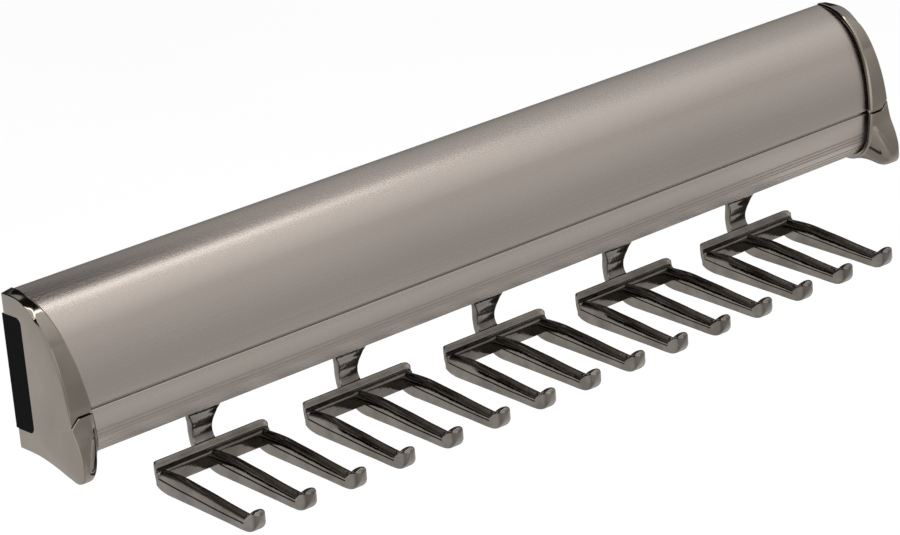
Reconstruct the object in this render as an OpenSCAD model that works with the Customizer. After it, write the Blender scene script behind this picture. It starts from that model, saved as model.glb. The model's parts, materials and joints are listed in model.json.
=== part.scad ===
/* [Rack] */
// Overall length over the two end caps
rack_length = 360; // [340:1:520]
// Gap between the wall and the back of the housing
wall_gap = 1; // [0.5:0.1:2]
// Greatest depth of the housing from the wall, at its belly
body_depth = 26.5; // [24:0.5:34]
// Height of the belly above the middle of the slide
belly_z = -11; // [-14:0.5:-6]
// Pitch of the hooks along the housing
hook_pitch = 59.8; // [52:0.2:68]

/* [Housing] */
// Radius of the broad front
front_r = 47.6; // [40:0.5:60]
// Radius of the rounded shoulder
shoulder_r = 25.7; // [20:0.1:30]
// Angle above level where the front turns into the shoulder
shoulder_angle = 29.2; // [24:0.2:34]
// Radius of the rounded chin
chin_r = 9.5; // [8:0.5:12]
// Angle below level where the front turns into the chin
chin_angle = 9.4; // [6:0.2:14]
// Angle below level where the chin turns into the lip
lip_angle = 56; // [50:1:60]
// Radius of the lip under the chin
lip_r = 2.2; // [2.1:0.1:3]
// Rise of the underside towards the wall
under_angle = 4.5; // [4:0.1:5]
// Wall of the outer skin
skin = 1.8; // [1.4:0.1:1.9]
// Wall round the slide's channel
channel_wall = 1.5; // [1.2:0.1:2]
// Top of the floor that carries the hooks, below the middle of the slide
floor_drop = 23.1; // [22.6:0.1:23.3]
// Width of the slot in the floor for the hook stems
slot_w = 6.4; // [6.2:0.1:8]
// Distance of the hook stems from the wall
stem_u = 12.3; // [11.8:0.1:13]
// Depth of the rib that takes the rail screws
rib_depth = 3; // [2:0.5:5]
// Height of the rib that takes the rail screws
rib_h = 8; // [7:0.5:10]
// Width of the long shadow groove on the front
groove_w = 0.9; // [0.5:0.1:1.5]
// Depth of the long shadow groove
groove_depth = 0.9; // [0.5:0.1:1.2]
// Height of the shadow groove above the middle of the slide
groove_z = -9.2; // [-10:0.1:-8]
// Radius of the fine flutes
flute_r = 0.32; // [0.2:0.02:0.45]
// Height of the first fine flute
flute_z = -16.9; // [-17.2:0.1:-16]
// Pitch of the fine flutes
flute_pitch = 1.15; // [1:0.05:1.2]

/* [End caps] */
// Thickness of a cap's side plate
cap_side = 3.5; // [2.5:0.1:5]
// Width of a cap from its side face to its rim, at mid height
cap_width = 7.7; // [6.5:0.1:10]
// Lean of the rim, which makes a cap wider at its toe
rim_lean = 6.8; // [0:0.2:8]
// Step from the housing up to a cap's rim, at the belly
rim_step = 2.4; // [1:0.1:3]
// Radius of a cap's shoulder
cap_shoulder_r = 24; // [22:0.5:25]
// Bottom of a cap at the wall, below the middle of the slide
cap_drop = 25.1; // [24.9:0.1:25.6]
// Slope of a cap's underside towards its toe
toe_rise = 13; // [11:0.5:15]
// Radius of the chin on a cap's rim
cap_chin_r = 10; // [8:0.5:12]
// Angle below level where the brow turns into the toe
toe_angle = 19; // [12:1:26]
// Width of the toe along the rack
toe_w = 9; // [7:0.5:10]
// Width of the toe along its foot
toe_foot = 3.5; // [2.5:0.5:5]
// Distance of the toe from the wall at a cap's side face
toe_reach = 33.4; // [31:0.1:35]
// Radius of the toe's tip
toe_r = 3.4; // [2.5:0.1:4]
// Radius of the toe's brow
brow_r = 13.4; // [12.6:0.1:14]
// Distance of the brow's centre from the wall
brow_u = 19.8; // [19.4:0.1:20.4]
// Height of the brow's centre
brow_z = -23; // [-24:0.1:-22]
// Depth of a cap's plug inside the housing
plug_depth = 8; // [6:0.5:12]
// Depth of the notch from the cap's back face
notch_depth = 8.3; // [8:0.1:8.6]
// Corner radius of the notch
notch_r = 2.2; // [1:0.1:3]
// Radius of the scoop in the toe
scoop_r = 8; // [7:0.5:10]

/* [Hooks] */
// Pitch of the prongs on a hook
prong_pitch = 20; // [18:0.5:22]
// Width of a prong
prong_w = 4.7; // [4.2:0.1:5.5]
// Distance of the crossbar's back from the wall
bar_u = 12.7; // [12.2:0.1:13]
// Top of the crossbar, below the middle of the slide
bar_top = 39.6; // [39:0.1:42]
// Depth of the crossbar, wall to front
bar_depth = 3.7; // [3:0.1:5]
// Fall of the crossbar's sloping top
bar_fall = 4; // [3:0.1:4.4]
// Radius of the heel under the crossbar
heel_r = 6.2; // [5.6:0.1:7]
// Distance of the nose's curve centre from the wall
nose_u = 57.2; // [50:0.2:72]
// Radius of the curve under the nose
nose_r = 6.1; // [5.6:0.1:6.6]
// Height of the nose above its curve centre
nose_h = 1; // [0.6:0.1:1.8]
// Reach of the nose's tip beyond its curve centre
tip_reach = 5.8; // [5.4:0.1:6.4]
// Radius of the nose's tip
nose_tip_r = 0.9; // [0.6:0.05:1.1]
// Drop of a prong's shoulder line below the crossbar's top
crest_drop = 2.9; // [2.4:0.1:3.6]
// Fall of a prong's crest per unit of its reach
crest_slope = 0.125; // [0.1:0.005:0.13]
// Depth of the nose, from its back to its tip
nose_depth = 5.7; // [4:0.1:7]
// Radius of the crossbar's back corners, seen from above
corner_r = 2.4; // [1.5:0.1:3]
// Thickness of the stem at its waist
stem_t = 3; // [2.4:0.1:3.4]
// Radius of the bend at the stem's back
stem_bend_r = 8; // [7.5:0.1:9]
// Least half width of the stem
stem_half = 3.9; // [3.5:0.1:4.5]
// Radius of the stem's hollow sides
stem_side_r = 12.7; // [11:0.1:16]
// Half width of the stem's head
head_half = 7; // [6:0.1:9]
// Height of the stem's head
head_h = 5; // [4.6:0.1:6]

/* [Slide] */
// Height of the slide's outer rail
rail_h = 35; // [34.4:0.1:35.4]
// Depth of the outer rail from the wall
rail_depth = 8.2; // [8.1:0.05:8.4]
// Distance from each cap's side face to the ends of the rails inside
rail_setback = 10; // [9.6:0.1:14]
// How far the outer rail runs past the others at the back end
rail_tail = 10; // [9:0.1:10.4]
// Thickness of the outer rail's web
outer_web = 1.6; // [1.3:0.1:1.7]
// Thickness of the outer rail's flanges
outer_flange = 1.3; // [1.1:0.05:1.4]
// Thickness of the middle rail's web
middle_web = 1.2; // [0.9:0.05:1.3]
// Thickness of the middle rail's flanges
middle_flange = 1.9; // [1.7:0.05:2.1]
// Thickness of the inner rail's web
inner_web = 1.2; // [0.9:0.05:1.4]
// Thickness of the inner rail's flanges
inner_flange = 1.4; // [1.2:0.05:1.6]
// Radius of the balls
ball_r = 1.5; // [1.45:0.01:1.55]
// Pitch of the balls in a row
ball_pitch = 12; // [8:0.5:13]
// Length of a ball cage
cage_length = 90; // [90:1:110]
// Sheet thickness of a ball cage
cage_sheet = 0.4; // [0.3:0.05:0.45]
// Travel of each stage of the slide
stage_travel = 160; // [120:1:170]
// Spacing of the two wall screw holes
wall_hole_spacing = 256; // [200:1:280]
// Radius of a wall screw hole
wall_hole_r = 2.1; // [1.8:0.05:2.4]

/* [Fasteners] */
// Radius of a rail screw's shank
rail_screw_r = 2; // [1.6:0.05:2.4]
// Radius of a rail screw's head
rail_screw_head_r = 3.5; // [3:0.1:4]
// Height of a rail screw's head
rail_screw_head_h = 2; // [1.4:0.1:2.4]
// Spacing of the rail screws
rail_screw_spacing = 120; // [80:1:140]
// Radius of a hook screw's shank
hook_screw_r = 1.75; // [1.5:0.05:2]
// Radius of a hook screw's countersunk head
hook_screw_head_r = 3.3; // [3:0.05:3.6]
// Width of the strip that carries the hooks
strip_w = 13; // [11:0.5:14]
// Radius of a cap screw's shank
cap_screw_r = 1.5; // [1.3:0.05:1.8]
// Radius of a cap screw's countersunk head
cap_screw_head_r = 2.7; // [2.4:0.05:3]
// Length of a cap screw
cap_screw_length = 8; // [6:0.5:8.5]
// Height of each cap screw above or below the middle
cap_screw_z = 9; // [7.5:0.1:11]

/* [Hidden] */
$fn = 48;
ball_fn = 20;
arc_step = 4;
fine_step = 30;
overrun = 1;
edge = 0.05;

satin_grey = [0.56, 0.53, 0.50];
dark_chrome = [0.34, 0.32, 0.30];
black_chrome = [0.20, 0.19, 0.17];
black_steel = [0.09, 0.09, 0.10];
zinc = [0.72, 0.73, 0.74];
black_rubber = [0.05, 0.05, 0.05];

// Clearances between pieces
web_gap = 0.2;
race_clear = 0.08;
pocket_clear = 0.05;
hole_clear = 0.05;
plug_clear = 0.12;
slot_clear = 0.15;
channel_clear = 1.1;
stop_clear = 0.3;
sink_depth = 0.2;

// Sections are drawn in a side view: u runs from the wall to the front, z runs up
function heading(a) = [cos(a), sin(a)];
function arc(c, r, a0, a1, step = arc_step) = let (n = ceil(abs(a1 - a0) / step))
    [for (i = [0:n]) c + r * heading(a0 + (a1 - a0) * i / n)];

module along_x(x0, x1) {
    translate([x1, 0, 0]) rotate([90, 0, -90]) linear_extrude(x1 - x0) children();
}

module along_u(u0, u1) {
    translate([0, -u0, 0]) rotate([90, 0, 0]) linear_extrude(u1 - u0) children();
}

module box_u(u0, u1, z0, z1) {
    translate([u0, z0]) square([u1 - u0, z1 - z0]);
}

module block(x0, x1, u0, u1, z0, z1) {
    translate([x0, -u1, z0]) cube([x1 - x0, u1 - u0, z1 - z0]);
}

module peg(r0, r1, u0, u1) {
    translate([0, -u0, 0]) rotate([90, 0, 0]) cylinder(r1 = r0, r2 = r1, h = u1 - u0);
}

// Housing outline, drawn inwards by an inset
front_c = [body_depth - front_r, belly_z];
chin_c = front_c + (front_r - chin_r) * heading(-chin_angle);
lip_c = chin_c + (chin_r - lip_r) * heading(-lip_angle);
shoulder_c = front_c + (front_r - shoulder_r) * heading(shoulder_angle);
under_heading = -90 - under_angle;
function back_angle(c, r, u) = acos((u - c[0]) / r);
function housing_outline(inset) = let (
    back_u = wall_gap + inset,
    lip = max(edge, lip_r - inset),
    lip_end = lip_c + lip * heading(under_heading))
    concat([[back_u, lip_end[1] + (lip_end[0] - back_u) * tan(under_angle)]],
           arc(lip_c, lip, under_heading, -lip_angle, fine_step),
           arc(chin_c, chin_r - inset, -lip_angle, -chin_angle),
           arc(front_c, front_r - inset, -chin_angle, shoulder_angle),
           arc(shoulder_c, shoulder_r - inset, shoulder_angle,
               back_angle(shoulder_c, shoulder_r - inset, back_u)));
function front_point(z) = z > chin_c[1] - chin_r * sin(chin_angle)
    ? front_c + front_r * heading(asin((z - front_c[1]) / front_r))
    : chin_c + chin_r * heading(asin((z - chin_c[1]) / chin_r));

// Slide section, from the wall forwards and from the outer flange inwards
flange_lip = 1.1;
race_bite = 0.35;
cage_flange = 0.6;
cage_rim = 0.5;
outer_half = rail_h / 2;
outer_face = outer_half - outer_flange;
ball_u = rail_depth - flange_lip - ball_r;
ball_z1 = outer_face - ball_r + race_bite;
middle_half = ball_z1 - ball_r + race_bite;
middle_face = middle_half - middle_flange;
ball_z2 = middle_face - ball_r + race_bite;
inner_half = ball_z2 - ball_r + race_bite;
inner_face = inner_half - inner_flange;
cage_u1 = outer_web + web_gap;
middle_u = cage_u1 + cage_sheet + web_gap;
cage_u2 = middle_u + middle_web + web_gap;
inner_u = cage_u2 + cage_sheet + web_gap;
cage_front = ball_u + ball_r + cage_rim;
inner_web_u = rail_depth + web_gap;
seat_u = inner_web_u + inner_web;
race_r = ball_r + race_clear;
rail_half = rack_length / 2 - rail_setback;
stop_t = 1.7;
stop_reach = 1.3;
stop_half_w = 1.4;
stop_x = cage_length / 2 + stage_travel / 2 + stop_clear;
balls_each_side = floor((cage_length / 2 - 2 * ball_r) / ball_pitch);
access_r = 5;
access_x = wall_hole_spacing / 2 - stage_travel;
bumper_half = 13;
bumper_peg_r = 1.5;
bumper_x = -rail_half - stop_clear;
bumper_end = -rail_half - rail_tail + sink_depth;
cover_t = 1.6;
cover_clear = 0.2;

module flange_pair(x0, x1, u0, u1, z0, z1) {
    block(x0, x1, u0, u1, z0, z1);
    block(x0, x1, u0, u1, -z1, -z0);
}

module race_pair(z) {
    for (side = [-1, 1]) translate([0, -ball_u, side * z]) rotate([0, 90, 0])
        cylinder(r = race_r, h = 2 * rack_length, center = true);
}

module stop_pair(x, z0, z1) {
    flange_pair(x, x + stop_t, ball_u - stop_half_w, ball_u + stop_half_w, z0, z1);
}

module wall_hole() {
    peg(wall_hole_r, wall_hole_r, -overrun, outer_web + overrun);
    peg(wall_hole_r, wall_hole_r + outer_web - sink_depth, sink_depth, outer_web);
}

module outer_rail() color(black_steel) {
    difference() {
        union() {
            block(-rail_half - rail_tail + cover_t, rail_half, 0, outer_web,
                  -outer_half, outer_half);
            flange_pair(-rail_half - rail_tail + cover_t, rail_half, outer_web - edge, rail_depth,
                        outer_face, outer_half);
        }
        race_pair(ball_z1);
        for (side = [-1, 1]) translate([side * wall_hole_spacing / 2, 0, 0]) wall_hole();
        translate([(bumper_x + bumper_end) / 2, 0, 0])
            peg(bumper_peg_r, bumper_peg_r, -overrun, outer_web + overrun);
    }
    stop_pair(stop_x, outer_face - stop_reach, outer_face + edge);
}

module rail_bumper() color(black_rubber) {
    block(bumper_end, bumper_x, outer_web, rail_depth - sink_depth, -bumper_half, bumper_half);
    along_x(-rail_half - rail_tail, -rail_half - rail_tail + cover_t) notch_outline(cover_clear);
    translate([(bumper_x + bumper_end) / 2, 0, 0])
        peg(bumper_peg_r, bumper_peg_r, sink_depth, outer_web + edge);
}

module cage(web_u, z_mid) {
    z0 = z_mid - cage_flange / 2;
    z1 = z_mid + cage_flange / 2;
    x1 = cage_length / 2;
    difference() {
        union() {
            block(-x1, x1, web_u, web_u + cage_sheet, -z1, z1);
            flange_pair(-x1, x1, web_u + edge, cage_front, z0, z1);
        }
        for (i = [-balls_each_side:balls_each_side]) translate([i * ball_pitch, -ball_u, 0])
            cylinder(r = ball_r + pocket_clear, h = 2 * z1 + overrun, center = true);
    }
}

module balls(z_mid) {
    for (i = [-balls_each_side:balls_each_side], side = [-1, 1])
        translate([i * ball_pitch, -ball_u, side * z_mid]) sphere(r = ball_r, $fn = ball_fn);
}

module outer_cage() color(zinc) cage(cage_u1, ball_z1);
module outer_balls() color(zinc) balls(ball_z1);
module inner_cage() color(zinc) cage(cage_u2, ball_z2);
module inner_balls() color(zinc) balls(ball_z2);

module middle_rail() color(black_steel) {
    difference() {
        union() {
            block(-rail_half, rail_half, middle_u, middle_u + middle_web,
                  -middle_half, middle_half);
            flange_pair(-rail_half, rail_half, middle_u + edge, rail_depth,
                        middle_face, middle_half);
        }
        race_pair(ball_z1);
        race_pair(ball_z2);
        translate([access_x, 0, 0])
            peg(access_r, access_r, middle_u - overrun, middle_u + middle_web + overrun);
    }
    stop_pair(-stop_x - stop_t, middle_half - edge, middle_half + stop_reach);
    stop_pair(stop_x, middle_face - stop_reach, middle_face + edge);
}

module at_rail_screws() {
    for (i = [-1:1]) translate([i * rail_screw_spacing, 0, 0]) children();
}

module inner_rail() color(black_steel) {
    difference() {
        union() {
            block(-rail_half, rail_half, inner_web_u, seat_u, -inner_half, inner_half);
            flange_pair(-rail_half, rail_half, inner_u, inner_web_u + edge,
                        inner_face, inner_half);
        }
        race_pair(ball_z2);
        at_rail_screws() peg(rail_screw_r + hole_clear, rail_screw_r + hole_clear,
                             inner_web_u - overrun, seat_u + overrun);
    }
    stop_pair(-stop_x - stop_t, inner_half - edge, inner_half + stop_reach);
}

// Cross recess of a screw, cut from the side u0 towards the side u1
recess_w = 0.9;
recess_depth = 1.1;
recess_share = 1.2;
module cross_recess(r, u0, u1) {
    for (turn = [0, 90]) rotate([0, turn, 0])
        block(-r / recess_share / 2, r / recess_share / 2, u0, u1, -recess_w / 2, recess_w / 2);
}

channel_front = seat_u + channel_wall;
rib_front = channel_front + rib_depth;
screw_end_gap = 0.5;
module rail_screws() color(zinc) at_rail_screws() {
    difference() {
        peg(rail_screw_head_r, rail_screw_head_r, inner_web_u - rail_screw_head_h, inner_web_u);
        cross_recess(rail_screw_head_r, inner_web_u - rail_screw_head_h - overrun,
                     inner_web_u - rail_screw_head_h + recess_depth);
    }
    peg(rail_screw_r, rail_screw_r, inner_web_u - edge, rib_front - screw_end_gap);
}

// Places shared by the housing, its caps and its strip
cap_out = rack_length / 2;
plate_x = cap_out - cap_side;
housing_half = plate_x - sink_depth;
plug_x = plate_x - plug_depth;
channel_half = outer_half + channel_clear;
shelf_z = channel_half + channel_wall;
far_z = 3 * rail_h;
cap_screw_x = plug_x + plug_depth / 2;

module cavity(inset, wall) {
    difference() {
        union() {
            polygon(housing_outline(inset));
            box_u(wall_gap + inset, lip_c[0] - inset, -floor_drop, belly_z);
        }
        box_u(0, 2 * body_depth, -far_z, -floor_drop + wall);
        box_u(0, channel_front + wall, -shelf_z - wall, shelf_z + wall);
        box_u(0, rib_front + wall, -rib_h / 2 - wall, rib_h / 2 + wall);
    }
}

flute_rows = [0, 1, 2, 4, 5, 6, 7];
module housing_section() {
    difference() {
        polygon(housing_outline(0));
        cavity(skin, 0);
        box_u(0, seat_u, -channel_half, channel_half);
        box_u(stem_u - slot_w / 2, stem_u + slot_w / 2, -far_z, -floor_drop + edge);
        translate(front_point(groove_z)) square([2 * groove_depth, groove_w], center = true);
        for (row = flute_rows)
            translate(front_point(flute_z - row * flute_pitch)) circle(r = flute_r, $fn = 12);
    }
}

module at_cap_screws() {
    for (side = [-1, 1]) translate([cap_screw_x, 0, side * cap_screw_z]) children();
}

cap_sink = cap_screw_head_r - cap_screw_r;
module housing() color(satin_grey) {
    difference() {
        along_x(-housing_half, housing_half) housing_section();
        at_rail_screws() peg(rail_screw_r + hole_clear, rail_screw_r + hole_clear,
                             seat_u - overrun, rib_front + overrun);
        for (end = [0, 1]) mirror([end, 0, 0]) at_cap_screws() {
            peg(cap_screw_r + hole_clear, cap_screw_r + hole_clear,
                seat_u - overrun, channel_front + overrun);
            peg(cap_screw_head_r + hole_clear, cap_screw_r + hole_clear,
                seat_u, seat_u + cap_sink);
        }
    }
}

// Strip inside the floor, which the hooks hang from
strip_half = plug_x - slot_clear;
strip_top = -shelf_z - slot_clear;
hook_sink = hook_screw_head_r - hook_screw_r;
hook_screw_length = 6.5;
module at_hooks() {
    for (i = [-2:2]) translate([i * hook_pitch, 0, 0]) children();
}

module down_peg(r0, r1, z0, z1) {
    translate([0, -stem_u, z0]) cylinder(r1 = r0, r2 = r1, h = z1 - z0);
}

module carrier_strip() color(zinc) {
    difference() {
        block(-strip_half, strip_half, stem_u - strip_w / 2, stem_u + strip_w / 2,
              -floor_drop, strip_top);
        at_hooks() {
            down_peg(hook_screw_r + hole_clear, hook_screw_r + hole_clear,
                     -floor_drop - overrun, strip_top + overrun);
            down_peg(hook_screw_r + hole_clear, hook_screw_head_r + hole_clear,
                     strip_top - hook_sink, strip_top);
        }
    }
}

module hook_screws() color(zinc) at_hooks() {
    difference() {
        down_peg(hook_screw_r, hook_screw_head_r, strip_top - hook_sink, strip_top);
        for (turn = [0, 90]) translate([0, -stem_u, strip_top]) rotate([0, 0, turn])
            cube([hook_screw_head_r, recess_w, 2 * recess_depth], center = true);
    }
    down_peg(hook_screw_r, hook_screw_r, strip_top - hook_screw_length,
             strip_top - hook_sink + edge);
}

// Hook, cast in one piece: stem, crossbar and three prongs with turned-up noses
head_w = slot_w - 2 * slot_clear;
heel_drop = 2.9;
heel_c = [bar_u + heel_r, -bar_top - heel_drop];
nose_fall = 2.3;
nose_c = [nose_u, heel_c[1] - heel_r - nose_fall + nose_r];
tip_c = nose_c + [tip_reach, nose_h];
nose_line = nose_c - heel_c;
under_side = -90 + atan2(nose_line[1], nose_line[0]) - asin((nose_r - heel_r) / norm(nose_line));
tip_line = tip_c - nose_c;
tip_side = atan2(tip_line[1], tip_line[0]) - acos((nose_r - nose_tip_r) / norm(tip_line));
nose_top = 121;
bar_front = bar_u + bar_depth;
crest_angle = atan(crest_slope);
dome_r = prong_w / 2 - edge;
crest_u = bar_u + 2 * dome_r;
function axis_z(u) = -bar_top - crest_drop - (u - bar_u) * crest_slope;
tip_top = tip_c + nose_tip_r * heading(nose_top);
nose_front = tip_c[0] + nose_tip_r;
root_u = nose_front - nose_depth;
root_z = tip_top[1] - (tip_top[0] - root_u) * tan(nose_top - 90);

module prong_section() {
    polygon(concat(arc(heel_c, heel_r, 180, 360 + under_side),
                   arc(nose_c, nose_r, under_side, tip_side),
                   arc(tip_c, nose_tip_r, tip_side, nose_top, fine_step),
                   [[root_u, root_z], [root_u, axis_z(root_u)],
                    [bar_front - edge, axis_z(bar_front)]]));
}

heel_end = 180 + acos((heel_c[0] - bar_front) / heel_r);
bar_edge = 1;
module bar_section() {
    polygon(concat(arc(heel_c, heel_r, 180, heel_end),
                   [[bar_front, -bar_top - bar_fall]],
                   arc([bar_u + bar_edge, -bar_top - bar_edge], bar_edge, 60, 180, fine_step)));
}

blade_top = -floor_drop - head_h;
waist_z = -bar_top + 1.1;
bend_z = -bar_top + 3.3;
bend_share = 1.15;
stem_back = stem_u - 3.5;
module stem_side() {
    box_u(stem_u - head_w / 2, stem_u + head_w / 2, blade_top, -floor_drop);
    box_u(stem_back, stem_back + stem_t, bend_z, blade_top + edge);
    intersection() {
        box_u(0, stem_u + head_w / 2, heel_c[1] - bar_edge, bend_z);
        difference() {
            translate([stem_back + stem_bend_r, bend_z]) circle(r = stem_bend_r);
            translate([stem_back + stem_t + stem_bend_r * bend_share, bend_z])
                circle(r = stem_bend_r * bend_share);
        }
    }
}

module stem_front() {
    difference() {
        box_u(-head_half, head_half, -bar_top - heel_drop, -floor_drop);
        for (side = [-1, 1]) translate([side * (stem_half + stem_side_r), waist_z])
            circle(r = stem_side_r);
    }
}

bar_half = prong_pitch + prong_w / 2;
module plan_outline() {
    for (side = [-1, 1]) translate([side * (bar_half - corner_r), -bar_u - corner_r])
        circle(r = corner_r);
    translate([corner_r - bar_half, -bar_front]) square([2 * (bar_half - corner_r), bar_depth]);
    for (i = [-1:1]) translate([i * prong_pitch, 0]) {
        translate([-prong_w / 2, prong_w / 2 - nose_front])
            square([prong_w, nose_front - prong_w / 2 - bar_u - corner_r]);
        translate([0, prong_w / 2 - nose_front]) circle(r = prong_w / 2);
    }
}

module hook() color(black_chrome) {
    difference() {
        intersection() {
            along_x(-head_half, head_half) stem_side();
            along_u(0, 2 * stem_u) stem_front();
        }
        down_peg(hook_screw_r + hole_clear, hook_screw_r + hole_clear,
                 strip_top - hook_screw_length - screw_end_gap, strip_top);
    }
    intersection() {
        translate([0, 0, -far_z]) linear_extrude(far_z) plan_outline();
        union() {
            along_x(-bar_half, bar_half) bar_section();
            for (i = [-1:1]) translate([i * prong_pitch, 0, 0]) {
                along_x(-prong_w / 2, prong_w / 2) prong_section();
                translate([0, -crest_u, axis_z(crest_u)]) rotate([90 + crest_angle, 0, 0])
                    linear_extrude((root_u + dome_r - crest_u) / cos(crest_angle))
                        intersection() {
                            circle(r = dome_r);
                            translate([-dome_r, -edge]) square([2 * dome_r, dome_r + edge]);
                        }
            }
        }
    }
}

module hook_1() translate([-2 * hook_pitch, 0, 0]) hook();
module hook_2() translate([-hook_pitch, 0, 0]) hook();
module hook_3() hook();
module hook_4() translate([hook_pitch, 0, 0]) hook();
module hook_5() translate([2 * hook_pitch, 0, 0]) hook();

// End cap; the near one is mirrored and notched, and its groove turns down where the far one's turns up
rim_r = front_r + rim_step;
cap_shoulder_c = front_c + (rim_r - cap_shoulder_r) * heading(shoulder_angle);
cap_chin_c = front_c + (rim_r - cap_chin_r) * heading(-chin_angle);
brow_c = [brow_u, brow_z];
toe_c = brow_c + (brow_r - toe_r) * heading(-toe_angle);
toe_base = toe_c + toe_r * heading(-90 - toe_rise);
flat_u = toe_base[0] - (-cap_drop - toe_base[1]) / tan(toe_rise);

module rim_outline() {
    polygon(concat([[wall_gap, -cap_drop], [flat_u, -cap_drop]],
                   arc(cap_chin_c, cap_chin_r, -90 - toe_rise, -chin_angle),
                   arc(front_c, rim_r, -chin_angle, shoulder_angle),
                   arc(cap_shoulder_c, cap_shoulder_r, shoulder_angle,
                       back_angle(cap_shoulder_c, cap_shoulder_r, wall_gap))));
}

module toe_outline() {
    polygon(concat([[flat_u, -cap_drop]],
                   arc(toe_c, toe_r, -90 - toe_rise, -toe_angle),
                   arc(brow_c, brow_r, -toe_angle, brow_top)));
}

brow_top = 50;
toe_lap = 0.4;
toe_side_drop = 2.5;
module toe_front() {
    foot_z = toe_c[1] - toe_r - edge;
    along_u(0, 2 * body_depth)
        polygon([[cap_out - toe_w, 0], [cap_out - toe_w, -cap_drop - toe_side_drop],
                 [cap_out - toe_foot, foot_z], [cap_out, foot_z], [cap_out, 0]]);
}

module toe_wedge() {
    inner_u = body_depth + rim_step - toe_lap;
    translate([0, 0, -far_z]) linear_extrude(2 * far_z)
        polygon([[cap_out - toe_w, 0], [cap_out - toe_w, -inner_u],
                 [cap_out, -toe_reach], [cap_out, 0]]);
}

groove_kink = 2.6;
kink_share = 0.43;
module cap_groove(turn) {
    kink_x = cap_out - cap_width * kink_share;
    half = groove_w / 2;
    along_u(body_depth + rim_step - groove_depth, 2 * body_depth)
        translate([0, groove_z]) scale([1, turn])
            polygon([[plug_x, -half], [kink_x, -half],
                     [cap_out + half, -half - groove_kink - half],
                     [cap_out + half, half - groove_kink],
                     [kink_x + half, half], [plug_x, half]]);
}

scoop_depth = 0.9;
scoop_in = 4.5;
scoop_top = -17.5;
scoop_bottom = -26;
module scoop() {
    translate([cap_out - scoop_in, -(body_depth + toe_reach + rim_step) / 2 - scoop_r + scoop_depth,
               scoop_bottom])
        cylinder(r = scoop_r, h = scoop_top - scoop_bottom);
}

plug_wall = 2;
boss_wall = 2;
module plug_section() {
    difference() {
        cavity(skin + plug_clear, plug_clear);
        difference() {
            cavity(skin + plug_clear + plug_wall, plug_clear + plug_wall);
            both_v() box_u(0, seat_u + cap_screw_length + boss_wall,
                           cap_screw_z - cap_screw_r - boss_wall,
                           cap_screw_z + cap_screw_r + boss_wall);
        }
    }
}

module both_v() {
    children();
    mirror([0, 1]) children();
}

module end_cap(turn) {
    difference() {
        union() {
            along_x(cap_out - 2 * cap_width, cap_out) rim_outline();
            intersection() {
                along_x(cap_out - toe_w, cap_out) toe_outline();
                toe_wedge();
                toe_front();
            }
        }
        translate([cap_out - cap_width, 0, 0]) rotate([0, rim_lean, 0])
            translate([-rack_length, -rack_length / 2, -rack_length / 2]) cube(rack_length);
        along_x(0, plate_x) polygon(housing_outline(-plug_clear));
        cap_groove(turn);
        scoop();
    }
    difference() {
        along_x(plug_x, plate_x + edge) plug_section();
        at_cap_screws() peg(cap_screw_r + hole_clear, cap_screw_r + hole_clear,
                            channel_front, seat_u + cap_screw_length + screw_end_gap);
    }
}

notch_half = channel_half + edge;
module notch_outline(less) {
    u1 = wall_gap + notch_depth - less;
    half = notch_half - less;
    translate([0, -half]) square([u1 - notch_r, 2 * half]);
    translate([0, notch_r - half]) square([u1, 2 * (half - notch_r)]);
    both_v() translate([u1 - notch_r, half - notch_r]) circle(r = notch_r);
}

module end_cap_far() color(dark_chrome) end_cap(-1);

module end_cap_near() color(dark_chrome) mirror([1, 0, 0]) difference() {
    end_cap(1);
    along_x(plate_x - overrun, cap_out + overrun) notch_outline(0);
}

module cap_screws() {
    at_cap_screws() {
        difference() {
            peg(cap_screw_head_r, cap_screw_r, seat_u, seat_u + cap_sink);
            cross_recess(cap_screw_head_r, seat_u - overrun, seat_u + recess_depth);
        }
        peg(cap_screw_r, cap_screw_r, seat_u + cap_sink - edge, seat_u + cap_screw_length);
    }
}

module cap_screws_far() color(zinc) cap_screws();
module cap_screws_near() color(zinc) mirror([1, 0, 0]) cap_screws();

outer_rail();
rail_bumper();
outer_cage();
outer_balls();
middle_rail();
inner_cage();
inner_balls();
inner_rail();
rail_screws();
housing();
carrier_strip();
hook_screws();
hook_1();
hook_2();
hook_3();
hook_4();
hook_5();
end_cap_near();
end_cap_far();
cap_screws_near();
cap_screws_far();
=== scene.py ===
import bpy
import bmesh
import json
import math
import numpy as np
from mathutils import Matrix


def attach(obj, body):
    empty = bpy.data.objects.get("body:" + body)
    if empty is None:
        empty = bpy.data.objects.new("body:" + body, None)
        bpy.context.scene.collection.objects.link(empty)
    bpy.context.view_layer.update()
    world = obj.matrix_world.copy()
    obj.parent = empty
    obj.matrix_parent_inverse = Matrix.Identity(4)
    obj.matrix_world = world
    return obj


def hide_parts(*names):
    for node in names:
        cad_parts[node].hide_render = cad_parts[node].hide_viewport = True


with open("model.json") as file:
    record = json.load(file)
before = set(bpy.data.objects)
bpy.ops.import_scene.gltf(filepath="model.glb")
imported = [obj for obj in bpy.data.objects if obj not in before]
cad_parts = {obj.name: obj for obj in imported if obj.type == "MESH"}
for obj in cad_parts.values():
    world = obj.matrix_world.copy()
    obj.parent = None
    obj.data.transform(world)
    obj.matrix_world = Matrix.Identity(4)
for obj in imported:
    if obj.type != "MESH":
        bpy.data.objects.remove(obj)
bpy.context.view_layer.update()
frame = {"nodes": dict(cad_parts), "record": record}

cadNodes = frame["nodes"]
bpy.context.scene.view_settings.view_transform = "Standard"
print("loaded", len(cadNodes), "nodes")

# pieces are drawn from points (x, u, z) in mm, where u runs from the wall to the front
meshSet = dict(toMetres=(0.001, -0.001, 0.001), mergeWithin=2e-6, thinnest=1e-6)


def addObject(name, data):
    made = bpy.data.objects.new(name, data)
    bpy.context.scene.collection.objects.link(made)
    return made


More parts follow.
